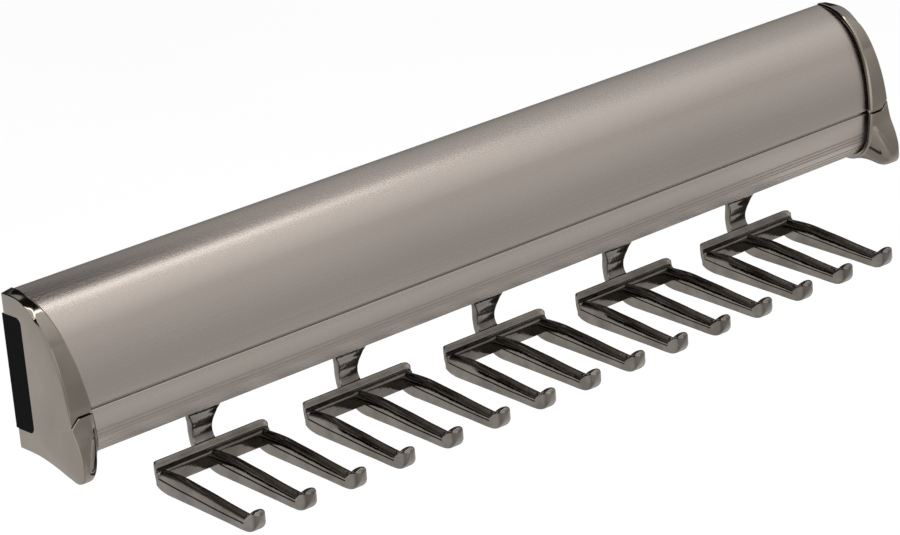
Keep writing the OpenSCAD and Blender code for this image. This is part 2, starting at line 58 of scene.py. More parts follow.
def makePiece(name, points, faces, sharpFrom):
    # closed mesh at the origin, with edges kept sharp from an angle on
    mesh = bpy.data.meshes.new(name)
    mesh.from_pydata((np.asarray(points, float) * meshSet["toMetres"]).tolist(), [], faces)
    tidy = bmesh.new()
    tidy.from_mesh(mesh)
    bmesh.ops.remove_doubles(tidy, verts=tidy.verts, dist=meshSet["mergeWithin"])
    bmesh.ops.dissolve_degenerate(tidy, edges=tidy.edges, dist=meshSet["thinnest"])
    bmesh.ops.recalc_face_normals(tidy, faces=tidy.faces)
    tidy.to_mesh(mesh)
    tidy.free()
    mesh.shade_smooth()
    mesh.set_sharp_from_angle(angle=math.radians(sharpFrom))
    return addObject(name, mesh)


def gridFaces(rows, cols, start=0, ring=False):
    # quads between neighbours of a rows x cols grid; ring joins the last column to the first
    r = np.arange(rows - 1)[:, None] * cols
    c = np.arange(cols if ring else cols - 1)[None, :]
    n = (c + 1) % cols
    quads = np.stack([r + c, r + n, r + n + cols, r + c + cols], -1) + start
    return quads.reshape(-1, 4).tolist()


def endFaces(rows, cols, start=0):
    # one face over the first row of a ring grid and one over the last
    last = start + (rows - 1) * cols
    return [list(range(start, start + cols)), list(range(last, last + cols))]


def arcLine(centre, radius, fromAngle, toAngle, count):
    # centre + radius * (cos a, sin a), a evenly from one angle to the other
    a = np.radians(np.linspace(fromAngle, toAngle, count))
    return np.stack([centre[0] + radius * np.cos(a), centre[1] + radius * np.sin(a)], -1)


def smoothLine(points, count):
    # cubic pieces through the points, each point's slope taken from its neighbours' chord
    p = np.asarray(points, float)
    knot = np.concatenate([[0], np.cumsum(np.linalg.norm(np.diff(p[:, :2], axis=0), axis=1))])
    slope = np.gradient(p, knot, axis=0)
    t = np.linspace(0, knot[-1], count)
    k = np.clip(np.searchsorted(knot, t, "right") - 1, 0, len(p) - 2)
    h = (knot[k + 1] - knot[k])[:, None]
    s = (t - knot[k])[:, None] / h
    return ((2 * s**3 - 3 * s**2 + 1) * p[k] + (s**3 - 2 * s**2 + s) * h * slope[k]
            + (3 * s**2 - 2 * s**3) * p[k + 1] + (s**3 - s**2) * h * slope[k + 1])


def ease(x, low, high):
    # 0 before low, 1 past high, 3t^2 - 2t^3 between
    t = np.clip((x - low) / (high - low), 0, 1)
    return t * t * (3 - 2 * t)


# the camera stands where a fit to the photograph put it
cameraSet = dict(place=(-0.748028, -0.881440, 0.394635), azimuth=-40.1553, elevation=19.7872,
                 roll=-4.9673, focalPixels=3710.9, imageWidth=900, sensor=36, clip=(0.01, 20))


def facing(back, roll=0.0):
    # a turn with its z axis along back and its y axis upright, then rolled about back
    right = np.cross([0, 0, 1.0], back)
    right /= np.linalg.norm(right)
    up = np.cross(back, right)
    rolledRight = right * math.cos(roll) + up * math.sin(roll)
    rolledUp = up * math.cos(roll) - right * math.sin(roll)
    return Matrix([rolledRight, rolledUp, back]).transposed().to_4x4()


def makeCamera(s):
    # back = (sin a cos e, -cos a cos e, sin e) for azimuth a and elevation e
    a, e, roll = (math.radians(s[k]) for k in ("azimuth", "elevation", "roll"))
    back = np.array([math.sin(a) * math.cos(e), -math.cos(a) * math.cos(e), math.sin(e)])
    data = bpy.data.cameras.new("productCamera")
    data.sensor_width = s["sensor"]
    data.lens = s["focalPixels"] / s["imageWidth"] * s["sensor"]
    data.clip_start, data.clip_end = s["clip"]
    camera = addObject("productCamera", data)
    camera.matrix_world = Matrix.Translation(s["place"]) @ facing(back, roll)
    bpy.context.scene.camera = camera


makeCamera(cameraSet)
print("camera set")


class Wire:
    # a socket that does sums: every operator adds its Math node
    def __init__(self, nodes, socket):
        self.nodes, self.socket = nodes, socket

    def __add__(self, other):
        return self.nodes.maths("ADD", self, other)

    def __sub__(self, other):
        return self.nodes.maths("SUBTRACT", self, other)

    def __rsub__(self, other):
        return self.nodes.maths("SUBTRACT", other, self)

    def __mul__(self, other):
        return self.nodes.maths("MULTIPLY", self, other)

    def __gt__(self, other):
        return self.nodes.maths("GREATER_THAN", self, other)

    __radd__ = __add__
    __rmul__ = __mul__


class Nodes:
    # adds nodes to a tree: a type, its settings, and the values or wires of its sockets
    def __init__(self, tree):
        self.tree = tree

    def node(self, kind, settings, inputs, output=0):
        made = self.tree.nodes.new("ShaderNode" + kind)
        for key, value in settings.items():
            if key == "stops":
                ramp = made.color_ramp.elements
                while len(ramp) < len(value):
                    ramp.new(0.5)
                for stop, (at, shade) in zip(ramp, value):
                    stop.position, stop.color = at, (*shade, 1)
            else:
                setattr(made, key, value)
        for key, value in inputs.items():
            if isinstance(value, Wire):
                self.tree.links.new(value.socket, made.inputs[key])
            else:
                made.inputs[key].default_value = value
        return Wire(self, made.outputs[output])

    def maths(self, operation, a, b=0.0):
        return self.node("Math", {"operation": operation}, {0: a, 1: b})


class Finish(Nodes):
    # a material around one Principled shader
    def __init__(self, name, **fixed):
        self.material = bpy.data.materials.new(name)
        self.material.use_nodes = True
        Nodes.__init__(self, self.material.node_tree)
        self.shader = self.tree.nodes["Principled BSDF"]
        self.place = self.node("TexCoord", {}, {}, "Object")
        for socket, value in fixed.items():
            self.shader.inputs[socket.replace("_", " ")].default_value = value

    def axis(self, which):
        return self.node("SeparateXYZ", {}, {0: self.place}, "XYZ".index(which))

    def blend(self, factor, a, b):
        solid = lambda c: c if isinstance(c, Wire) else (*c, 1)
        return self.node("Mix", {"data_type": "RGBA"}, {0: factor, 6: solid(a), 7: solid(b)}, 2)

    def stretched(self, sizes):
        return self.node("Mapping", {}, {"Vector": self.place, "Scale": sizes})

    def noise(self, sizes, detail):
        # cloudy 0..1 pattern, sizes = cells per metre along x, y, z
        return self.node("TexNoise", {}, {"Vector": self.stretched(sizes), "Scale": 1.0,
                                          "Detail": detail, "Roughness": 0.55})

    def spread(self, wire, span, to=(0.0, 1.0)):
        # the span is stretched over the values of to, and held at them outside
        return self.node("MapRange", {"clamp": True},
                         {0: wire, 1: span[0], 2: span[1], 3: to[0], 4: to[1]})

    def bump(self, height, depth, under=None):
        sockets = {"Height": height, "Distance": depth, "Strength": 1.0}
        if under:
            sockets["Normal"] = under
        return self.node("Bump", {}, sockets)

    def feed(self, **wires):
        for socket, wire in wires.items():
            self.tree.links.new(wire.socket, self.shader.inputs[socket.replace("_", " ")])
        return self.material


# in every finish: Sizes = cells per metre, Span = the pattern's part that is used, Depth in metres
aluminiumSet = dict(shade=(0.27, 0.239, 0.216), deep=(0.25, 0.221, 0.2), drawnShare=0.25,
                    drawnSizes=(6, 1500, 1500), broadSizes=(9, 40, 40), grainSizes=(9000, 9000, 9000),
                    toneSpan=(0.3, 0.7), roughSpan=(0.3, 0.7), roughRange=(0.24, 0.31),
                    fluteSpan=(-0.017, -0.012), fluteRough=0.2, lineDepth=6e-7, grainDepth=2e-7)


def satinAluminium(s):
    f = Finish("satinAluminium", Metallic=1.0)
    drawn = f.noise(s["drawnSizes"], 2)          # die lines along the extrusion
    broad = f.noise(s["broadSizes"], 3)
    grain = f.noise(s["grainSizes"], 2)          # etched anodised grain
    tone = f.spread(drawn * s["drawnShare"] + broad * (1 - s["drawnShare"]), s["toneSpan"])
    rough = f.spread(drawn * 0.5 + grain * 0.5, s["roughSpan"], s["roughRange"])
    fluted = f.spread(f.axis("Z"), s["fluteSpan"], (s["fluteRough"], 0.0))
    lines = f.bump(drawn, s["lineDepth"])
    return f.feed(Base_Color=f.blend(tone, s["deep"], s["shade"]), Roughness=rough + fluted,
                  Normal=f.bump(grain, s["grainDepth"], lines))


capSet = dict(shade=(0.168, 0.149, 0.128), deep=(0.148, 0.131, 0.112), hazeShare=0.6,
              hazeSizes=(60, 60, 60), smearSizes=(700, 180, 260), waveSizes=(90, 90, 90),
              toneSpan=(0.35, 0.65), roughSpan=(0.35, 0.7), roughRange=(0.05, 0.12), waveDepth=2e-5)


def darkChrome(s):
    f = Finish("darkChrome", Metallic=1.0)
    haze = f.noise(s["hazeSizes"], 4)
    smear = f.noise(s["smearSizes"], 3)
    wave = f.noise(s["waveSizes"], 1)            # slow polishing waves
    colour = f.blend(f.spread(haze, s["toneSpan"]), s["deep"], s["shade"])
    dull = haze * s["hazeShare"] + smear * (1 - s["hazeShare"])
    return f.feed(Base_Color=colour, Roughness=f.spread(dull, s["roughSpan"], s["roughRange"]),
                  Normal=f.bump(wave, s["waveDepth"]))


hookSet = dict(shade=(0.13, 0.118, 0.105), deep=(0.09, 0.08, 0.07),
               cloudSizes=(130, 130, 130), dimpleSizes=(420, 300, 420), pitSizes=(2600, 2600, 2600),
               toneSpan=(0.35, 0.65), roughSpan=(0.35, 0.65), roughRange=(0.06, 0.17),
               dimpleDepth=7e-5, pitDepth=6e-6)


def blackChrome(s):
    f = Finish("blackChrome", Metallic=1.0)
    cloud = f.noise(s["cloudSizes"], 3)
    dimple = f.noise(s["dimpleSizes"], 2)        # cast skin left under the plating
    pits = f.noise(s["pitSizes"], 2)
    colour = f.blend(f.spread(cloud, s["toneSpan"]), s["deep"], s["shade"])
    rough = f.spread(pits * 0.5 + cloud * 0.5, s["roughSpan"], s["roughRange"])
    skin = f.bump(dimple, s["dimpleDepth"])
    return f.feed(Base_Color=colour, Roughness=rough, Normal=f.bump(pits, s["pitDepth"], skin))


railSet = dict(paint=(0.004, 0.004, 0.0045), dust=(0.012, 0.0115, 0.011), steel=(0.42, 0.41, 0.40),
               peelSizes=(1400, 1400, 1400), dustSizes=(220, 700, 700), scuffSizes=(30, 1800, 1800),
               dustSpan=(0.45, 0.8), scuffSpan=(0.56, 0.66), roughSpan=(0.3, 0.7),
               roughRange=(0.3, 0.42), peelDepth=3e-5, trackInner=0.0082, trackOuter=0.0158,
               trackFrom=-0.168)


def blackSteel(s):
    # black electrocoat, polished off by the balls where |z| lies in the races
    f = Finish("blackSteel", Specular_IOR_Level=0.06)
    peel = f.noise(s["peelSizes"], 2)
    dust = f.noise(s["dustSizes"], 4)
    scuff = f.noise(s["scuffSizes"], 3)
    height = f.maths("ABSOLUTE", f.axis("Z"))
    inTrack = (height > s["trackInner"]) * (1 - (height > s["trackOuter"]))
    inRace = inTrack * (f.axis("X") > s["trackFrom"])
    worn = inRace * f.spread(scuff, s["scuffSpan"])
    coat = f.blend(f.spread(dust, s["dustSpan"]), s["paint"], s["dust"])
    return f.feed(Base_Color=f.blend(worn, coat, s["steel"]), Metallic=worn,
                  Roughness=f.spread(dust, s["roughSpan"], s["roughRange"]),
                  Normal=f.bump(peel, s["peelDepth"]))


zincSet = dict(shade=(0.60, 0.61, 0.62), warm=(0.56, 0.54, 0.47), spangleShare=0.6,
               spangleSizes=(520, 520, 520), stainSizes=(150, 150, 150), rolledSizes=(40, 2400, 2400),
               toneSpan=(0.4, 0.7), roughSpan=(0.2, 0.8), roughRange=(0.2, 0.37), rolledDepth=6e-6)


def zincSteel(s):
    f = Finish("zincSteel", Metallic=1.0)
    spangle = f.node("TexVoronoi", {"feature": "SMOOTH_F1"},
                     {"Vector": f.stretched(s["spangleSizes"]), "Scale": 1.0})
    stain = f.noise(s["stainSizes"], 4)
    rolled = f.noise(s["rolledSizes"], 2)
    colour = f.blend(f.spread(stain, s["toneSpan"]), s["shade"], s["warm"])
    dull = spangle * s["spangleShare"] + rolled * (1 - s["spangleShare"])
    return f.feed(Base_Color=colour, Roughness=f.spread(dull, s["roughSpan"], s["roughRange"]),
                  Normal=f.bump(rolled, s["rolledDepth"]))


ballSet = dict(shade=(0.66, 0.66, 0.68), warm=(0.55, 0.53, 0.48), filmSizes=(900, 900, 900),
               toneSpan=(0.4, 0.7), roughSpan=(0.35, 0.7), roughRange=(0.05, 0.16))


def ballSteel(s):
    f = Finish("ballSteel", Metallic=1.0)
    film = f.noise(s["filmSizes"], 3)            # oil
    colour = f.blend(f.spread(film, s["toneSpan"]), s["shade"], s["warm"])
    return f.feed(Base_Color=colour, Roughness=f.spread(film, s["roughSpan"], s["roughRange"]))


rubberSet = dict(shade=(0.001, 0.001, 0.0011), bloomed=(0.0035, 0.0034, 0.0033),
                 bloomSizes=(500, 500, 500), gritSizes=(5000, 5000, 5000), toneSpan=(0.4, 0.75),
                 roughSpan=(0.3, 0.7), roughRange=(0.62, 0.8), gritDepth=2e-5)


def bumperRubber(s):
    f = Finish("bumperRubber", Specular_IOR_Level=0.03)
    bloom = f.noise(s["bloomSizes"], 4)
    grit = f.noise(s["gritSizes"], 2)
    colour = f.blend(f.spread(bloom, s["toneSpan"]), s["shade"], s["bloomed"])
    return f.feed(Base_Color=colour, Roughness=f.spread(bloom, s["roughSpan"], s["roughRange"]),
                  Normal=f.bump(grit, s["gritDepth"]))


finishes = {"satin_aluminium": satinAluminium(aluminiumSet), "dark_chrome": darkChrome(capSet),
            "black_chrome": blackChrome(hookSet), "black_steel": blackSteel(railSet),
            "zinc_steel": zincSteel(zincSet), "ball_steel": ballSteel(ballSet),
            "bumper_rubber": bumperRubber(rubberSet)}
for part in frame["record"]["subparts"]:
    cad = cadNodes[part["node"]]
    cad.data.materials.clear()
    cad.data.materials.append(finishes[part["material_slot"]])
print("finishes made:", ", ".join(finishes))


def dress(piece, slot, *nodes):
    # finish, body and the CAD nodes that the piece stands for
    piece.data.materials.append(finishes[slot])
    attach(piece, "rack")
    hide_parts(*nodes)


# housing: one aluminium section drawn along x; its counts are points on each arc
housingSet = dict(half=176.3, stations=5, sharpFrom=28, back=1.0,
                  frontCentre=(-21.1, -11.0), frontRadius=47.6, shoulderCentre=(-1.983, -0.316),
                  shoulderRadius=25.7, shoulderAngle=29.2, chinCentre=(16.488, -17.223),
                  chinRadius=9.5, chinAngle=-9.4, lipAngle=-56.0, lipCentre=(20.570, -23.275),
                  lipRadius=2.2, underAngle=-94.5, lipLeast=0.05, outlineCounts=(60, 90, 30, 10),
                  skin=1.8, floor=-23.1, slotFrom=9.1, slotTo=15.5, web=9.64, webFront=11.1,
                  ribFront=14.1, ribHalf=4.0, channelHalf=18.6, shelf=20.1,
                  grooveAt=-9.2, grooveHalf=0.45, grooveDepth=0.9, grooveEase=0.12,
                  grooveDraft=0.02, grooveBeside=0.4, smoothCounts=(70, 60, 14),
                  fluteZone=-16.4, fluteFrom=-16.9, flutePitch=1.15,
                  fluteRows=(0, 1, 2, 4, 5, 6, 7), fluteRadius=0.32, fluteCounts=(60, 190, 14))


def shoulderEnd(s, radius, back):
    # the angle at which the shoulder's arc meets the back
    return math.degrees(math.acos((back - s["shoulderCentre"][0]) / radius))


def housingOutline(s, inset=0.0):
    # four arcs that meet without a kink, from the back's top over the front to the lip
    shoulder, front, chin = (s[k] - inset for k in ("shoulderRadius", "frontRadius", "chinRadius"))
    top = shoulderEnd(s, shoulder, s["back"] + inset)
    lip = max(s["lipLeast"], s["lipRadius"] - inset)
    n = s["outlineCounts"]
    return np.concatenate([
        arcLine(s["shoulderCentre"], shoulder, top, s["shoulderAngle"], n[0]),
        arcLine(s["frontCentre"], front, s["shoulderAngle"], s["chinAngle"], n[1])[1:],
        arcLine(s["chinCentre"], chin, s["chinAngle"], s["lipAngle"], n[2])[1:],
        arcLine(s["lipCentre"], lip, s["lipAngle"], s["underAngle"], n[3])[1:]])


def underside(s, u):
    # height of the straight line that rises towards the wall from the lip's end
    end = arcLine(s["lipCentre"], s["lipRadius"], s["underAngle"], s["underAngle"], 1)[0]
    return end[1] + (end[0] - u) * math.tan(math.radians(-90 - s["underAngle"]))


def frontAngle(s, z):
    # the angle at which the front's arc reaches the height z
    return math.degrees(math.asin((z - s["frontCentre"][1]) / s["frontRadius"]))


def grooveLine(s):
    # six points across the shadow groove, eased at its two edges
    g, h, e, deep = s["grooveAt"], s["grooveHalf"], s["grooveEase"], s["grooveDepth"]
    wall = h - s["grooveDraft"]
    cut = [(g + h + e, 0), (g + h, -e), (g + wall, -deep), (g - wall, -deep), (g - h, -e), (g - h - e, 0)]
    return np.array([arcLine(s["frontCentre"], s["frontRadius"] + d, frontAngle(s, z), 0, 2)[0]
                     for z, d in cut])


def flutedLine(s):
    # front's end, chin and lip, sunk along the normal by half circles at the flutes' heights
    n = s["fluteCounts"]
    line = np.concatenate([
        arcLine(s["frontCentre"], s["frontRadius"], frontAngle(s, s["fluteZone"]), s["chinAngle"], n[0])[1:],
        arcLine(s["chinCentre"], s["chinRadius"], s["chinAngle"], s["lipAngle"], n[1])[1:],
        arcLine(s["lipCentre"], s["lipRadius"], s["lipAngle"], s["underAngle"], n[2])[1:]])
    rows = s["fluteFrom"] - np.array(s["fluteRows"]) * s["flutePitch"]
    clean = housingOutline(s)[::-1]
    apart = np.hypot(line[:, :1] - np.interp(rows, clean[:, 1], clean[:, 0]), line[:, 1:] - rows)
    sink = np.sqrt(np.clip(s["fluteRadius"]**2 - apart**2, 0, None)).max(1)
    along = np.gradient(line, axis=0)
    along /= np.linalg.norm(along, axis=1)[:, None]
    return line + np.stack([along[:, 1], -along[:, 0]], -1) * sink[:, None]


def housingProfile(s):
    # outline with the shadow groove and the flutes, then the hollow inside and the slide's channel
    front, radius, n = s["frontCentre"], s["frontRadius"], s["smoothCounts"]
    beside = s["grooveHalf"] + s["grooveBeside"]
    above, below = frontAngle(s, s["grooveAt"] + beside), frontAngle(s, s["grooveAt"] - beside)
    top = shoulderEnd(s, s["shoulderRadius"], s["back"])
    outside = [arcLine(s["shoulderCentre"], s["shoulderRadius"], top, s["shoulderAngle"], n[0]),
               arcLine(front, radius, s["shoulderAngle"], above, n[1])[1:], grooveLine(s),
               arcLine(front, radius, below, frontAngle(s, s["fluteZone"]), n[2]), flutedLine(s)]
    b, k = s["back"], s["back"] + s["skin"]
    inner = housingOutline(s, s["skin"])[::-1]
    inner = inner[inner[:, 1] > s["floor"]]
    inner = inner[inner[:, 0] > k]
    slot = [(s["slotTo"], underside(s, s["slotTo"])), (s["slotTo"], s["floor"]),
            (inner[0][0], s["floor"])]
    rest = [(k, inner[-1][1]), (k, s["shelf"]), (s["webFront"], s["shelf"]),
            (s["webFront"], s["ribHalf"]), (s["ribFront"], s["ribHalf"]),
            (s["ribFront"], -s["ribHalf"]), (s["webFront"], -s["ribHalf"]),
            (s["webFront"], -s["shelf"]), (k, -s["shelf"]), (k, s["floor"]),
            (s["slotFrom"], s["floor"]), (s["slotFrom"], underside(s, s["slotFrom"])),
            (b, underside(s, b)), (b, -s["channelHalf"]), (s["web"], -s["channelHalf"]),
            (s["web"], s["channelHalf"]), (b, s["channelHalf"])]
    return np.concatenate(outside + [slot, inner, rest])


def makeHousing(s):
    # the section drawn straight from -half to half and closed by one face at each end
    section = housingProfile(s)
    stations = np.linspace(-s["half"], s["half"], s["stations"])
    points = [np.column_stack([np.full(len(section), x), section]) for x in stations]
    size = len(stations), len(section)
    return makePiece("housingShell", np.concatenate(points),
                     gridFaces(*size, ring=True) + endFaces(*size), s["sharpFrom"])


dress(makeHousing(housingSet), "satin_aluminium", "housing")
print("housing drawn")


# end caps: a chromed band round the housing, a flat side and a flared toe with a shallow scoop.
# sweep = the angle about the cap's middle, 0 to the front and 90 up
capShape = dict(side=180.0, plate=176.5, middle=(12.0, -3.0), back=1.0, sharpFrom=24,
                frontCentre=(-21.1, -11.0), frontRadius=50.0, shoulderCentre=(1.6, 1.684),
                shoulderRadius=24.0, shoulderAngle=29.2, chinCentre=(18.36, -17.53),
                chinRadius=10.0, chinAngle=-9.4, riseAngle=-103.0, under=-25.1,
                rimCounts=(160, 240, 60), sideCount=400, between=12, samples=4000,
                lean=0.12, rimAt=172.3, gap=0.12, topLimit=25.66, edgeRound=0.3, edgeRows=6,
                bandFrom=0.42, bandTo=7.2, bandRows=52, rimRound=1.0, rimRows=9, rimSpare=0.05,
                lip=1.5, recess=1.5, bevelLeast=0.45, bevelMore=3.6, bevelSweep=(75, 95),
                toeSweep=(-12, -32), fullLeast=0.2, fullMore=3.4, fullSweep=(42, 60),
                flareReach=9.0, flarePower=2.2, frontFrom=20,
                grooveAt=-9.2, grooveHalf=0.42, grooveDepth=0.8, grooveWall=0.07, kinkAt=176.7,
                kinkSlope=0.8, scoopTop=-16.8, scoopRise=0.17, scoopEdge=0.25, scoopFade=(20.5, 26.0),
                scoopLean=0.395, scoopSide=1.3, scoopStop=(178.2, 179.6), scoopDepth=0.15,
                scoopTilt=0.06, scoopReach=8, grooveZone=(-13.2, -8.2), groovePitch=0.07,
                toeZone=(-28, -15), toePitch=0.2, frontPitch=0.45, backPitch=0.5,
                notchDepth=9.3, notchHalf=18.6, notchRound=2.2, notchCount=9,
                sideLine=[(1, 25.0), (5, 25.0), (9, 24.6), (12, 23.4), (16, 20.15), (18.5, 17.1),
                          (20.8, 13.5), (23.4, 9.05), (25.8, 3.7), (28.1, -5.1), (29.8, -13.1),
                          (32.0, -18.4), (33.1, -24.0), (32.3, -28.3), (29.6, -29.6),
                          (25.3, -28.8), (18.6, -26.9), (11, -25.4), (1, -24.9)])


def rimLine(s):
    # arcs round the housing at the cap's own radius, closed below by a flat and a short rise
    top, n = shoulderEnd(s, s["shoulderRadius"], s["back"]), s["rimCounts"]
    chin = arcLine(s["chinCentre"], s["chinRadius"], s["chinAngle"], s["riseAngle"], n[2])
    flatFrom = chin[-1][0] - (s["under"] - chin[-1][1]) / math.tan(math.radians(-90 - s["riseAngle"]))
    return np.concatenate([
        arcLine(s["shoulderCentre"], s["shoulderRadius"], top, s["shoulderAngle"], n[0]),
        arcLine(s["frontCentre"], s["frontRadius"], s["shoulderAngle"], s["chinAngle"], n[1])[1:],
        chin[1:], [(flatFrom, s["under"]), (s["back"], s["under"])]])


def byAngle(s, line, share):
    # the line's points at given shares of its sweep about the cap's middle
    fine = np.linspace(line[:-1], line[1:], s["between"], endpoint=False, axis=1).reshape(-1, 2)
    line = np.concatenate([fine, line[-1:]])
    away = line - s["middle"]
    sweep = np.degrees(np.arctan2(away[:, 1], away[:, 0]))
    target = sweep[0] + share * (sweep[-1] - sweep[0])
    return np.stack([np.interp(-target, -sweep, line[:, k]) for k in (0, 1)], -1)


def capShares(s):
    # columns set close where the groove and the scoop are cut
    even = np.linspace(0, 1, s["samples"])
    line = byAngle(s, rimLine(s), even)
    step = np.linalg.norm(np.diff(line, axis=0), axis=1)
    u, z = line[1:].T
    inGroove, inToe = ((z > low) & (z < high) for low, high in (s["grooveZone"], s["toeZone"]))
    front = np.where(inGroove, s["groovePitch"], np.where(inToe, s["toePitch"], s["frontPitch"]))
    pitch = np.where(u > s["frontFrom"], front, s["backPitch"])
    cost = np.concatenate([[0], np.cumsum(step / pitch)])
    return np.interp(np.linspace(0, cost[-1], int(cost[-1]) + 1), cost, even)


def grooveShare(s, line, path):
    # 1 within grooveHalf of the height path on the front, 0 past its short walls
    wall = ease(np.abs(line[:, 1] - path), s["grooveHalf"], s["grooveHalf"] + s["grooveWall"])
    return (line[:, 0] > s["frontFrom"]) * (1 - wall)


def scoopDent(s, x, line):
    # depth grows with the height below a rising top edge, and fades at the sides and the bottom
    below = s["scoopTop"] + s["scoopRise"] * (x - s["rimAt"]) - line[:, 1]
    down = ease(below, 0, s["scoopEdge"]) * (1 - ease(-line[:, 1], *s["scoopFade"]))
    left = s["rimAt"] + s["scoopLean"] * np.clip(below, 0, None)
    across = ease(x, left, left + s["scoopSide"]) * (1 - ease(x, *s["scoopStop"]))
    depth = s["scoopDepth"] + s["scoopTilt"] * np.clip(below, 0, s["scoopReach"])
    return (line[:, 0] > s["frontFrom"]) * (depth * down * across)


def capBand(s, turn):
    # rows run from the side face's edge over the bevel and band to the rim and under it: each is
    # the rim's line moved towards the side's, by a share that falls with the distance d
    share = capShares(s)
    rim, side = byAngle(s, rimLine(s), share), byAngle(s, smoothLine(s["sideLine"], s["sideCount"]), share)
    seatEnd = (s["back"], underside(housingSet, s["back"]) - s["gap"])
    seat = byAngle(s, np.concatenate([housingOutline(housingSet, -s["gap"]), [seatEnd]]), share)
    for line in (seat, rim, side):
        line[[0, -1], 0] = s["back"]
    rim[:, 1] = np.minimum(rim[:, 1], s["topLimit"])
    away = rim - s["middle"]
    sweep = np.degrees(np.arctan2(away[:, 1], away[:, 0]))
    away /= np.linalg.norm(away, axis=1)[:, None]
    away[[0, -1], 0] = 0
    rimX = s["rimAt"] + s["lean"] * rim[:, 1]
    widest = s["side"] - rimX - s["rimRound"] - s["rimSpare"]
    edge = s["edgeRound"] * (1 - np.cos(np.linspace(0, np.pi / 2, s["edgeRows"])))
    dist = np.concatenate([edge, np.linspace(s["bandFrom"], s["bandTo"], s["bandRows"])])
    bevelWide = s["bevelLeast"] + s["bevelMore"] * ease(sweep, *s["bevelSweep"])
    toe = ease(sweep, *s["toeSweep"])
    full = s["fullLeast"] + s["fullMore"] * ease(-sweep, *s["fullSweep"])
    rows = []
    for d in dist:
        d = np.minimum(d, widest)
        x = s["side"] - d
        bevel = np.clip(1 - d / bevelWide, 0, 1)
        flare = np.clip(1 - (d - full) / (s["flareReach"] - full), 0, 1)
        flare = 1 - (1 - flare)**s["flarePower"]
        line = rim + (bevel + toe * (flare - bevel))[:, None] * (side - rim)
        line[:, 1] = np.minimum(line[:, 1], s["topLimit"])
        r = s["edgeRound"]
        sink = r - np.sqrt(np.clip(r**2 - np.clip(r - d, 0, None)**2, 0, None))
        path = s["grooveAt"] - turn * s["kinkSlope"] * np.clip(x - s["kinkAt"], 0, None)
        sink = sink + s["grooveDepth"] * grooveShare(s, line, path) + scoopDent(s, x, line)
        rows.append(np.column_stack([x, line - away * sink[:, None]]))
    groove = s["grooveDepth"] * grooveShare(s, rim, s["grooveAt"])
    for a in np.radians(np.linspace(0, 90, s["rimRows"])):
        inward = s["rimRound"] * (1 - math.cos(a)) + groove
        back = s["rimRound"] * (1 - math.sin(a))
        rows.append(np.column_stack([rimX + back, rim - away * inward[:, None]]))
    lip = rim - away * (s["lip"] + groove)[:, None]
    deep = rimX + s["recess"]
    rows += [np.column_stack(pair) for pair in ((rimX, lip), (deep, lip), (deep, seat))]
    rows.append(np.column_stack([np.full(len(rim), s["plate"]), seat]))
    return np.array(rows)


def notchLine(s):
    # three sides of the slide's notch, open to the wall, with round inner corners
    r, d, h = s["notchRound"], s["notchDepth"], s["notchHalf"]
    lower = arcLine((d - r, r - h), r, -90, 0, s["notchCount"])
    return np.concatenate([[(s["back"], -h)], lower, lower[::-1] * [1, -1], [(s["back"], h)]])


def makeCap(s, name, sign, notched):
    # the band's grid with faces over its side, its inner end and its two edges at the wall
    band = capBand(s, 1 if notched else -1)      # the groove turns down near, up far
    rows, cols = band.shape[:2]
    points = [band.reshape(-1, 3)]
    faces = gridFaces(rows, cols)
    outer, inner = endFaces(rows, cols)
    top, bottom = ([r * cols + c for r in range(rows)] for c in (0, cols - 1))
    if notched:
        notch = notchLine(s)
        n, first = len(notch), rows * cols
        points += [np.column_stack([np.full(n, x), notch]) for x in (s["side"], s["plate"])]
        near, far = endFaces(2, n, first)
        faces += gridFaces(2, n, first)
        faces += [outer + near, inner + far]
        faces += [top + [far[-1], near[-1]], bottom + [far[0], near[0]]]
    else:
        faces += [outer, inner, top + bottom[::-1]]
    return makePiece(name, np.concatenate(points) * [sign, 1, 1], faces, s["sharpFrom"])


dress(makeCap(capShape, "capNear", -1, True), "dark_chrome", "end_cap_near")
dress(makeCap(capShape, "capFar", 1, False), "dark_chrome", "end_cap_far")
print("caps drawn")


# hooks: a bar on a curved stem, with three pointed-up prongs
prongShape = dict(half=2.35, tip=63.88, root=57.4, rootGap=(0.05, 0.15), start=14.8,
                  counts=(44, 10, 16), lineCount=300, noseCount=200, ledge=0.4,
                  thinnest=0.03, sideLeast=0.06, archLeast=0.02, archFoot=0.03,
                  soleRound=0.4, soleMore=0.5, soleSpan=(55, 60), soleOfSide=0.42, soleOfHalf=0.8,
                  cornerCount=6, archCount=12, liftCount=4,
                  crest=[(14.8, -42.35), (15.8, -42.2), (17.5, -42.05), (20, -41.95), (26.3, -41.95),
                         (33.7, -42.8), (41.6, -43.75), (47.5, -44.65), (58, -45.95), (66, -46.9)],
                  edge=[(12, -44.1), (16, -44.6), (20, -45.1), (25.7, -45.7), (34, -46.4),
                        (43.6, -47.3), (53.8, -48.0), (66, -48.8)],
                  under=[(14.0, -46.6), (16.1, -48.0), (18.9, -48.75), (24.2, -49.1), (33, -49.45),
                         (42, -49.85), (50, -50.2), (54, -50.45), (58.0, -50.7)],
                  noseCentre=(57.9, -44.75), noseRadius=5.95,
                  noseCrest=[(57.3, -46.3), (58.4, -45.35), (59.8, -44.15), (61.2, -43.25),
                             (62.3, -42.9), (63.1, -43.05), (63.6, -43.5), (63.9, -44.4)],
                  noseEdge=[(57.3, -47.8), (58.4, -46.9), (59.8, -45.75), (61.2, -44.85),
                            (62.3, -44.4), (63.1, -44.4), (63.6, -44.5), (63.9, -44.7)])
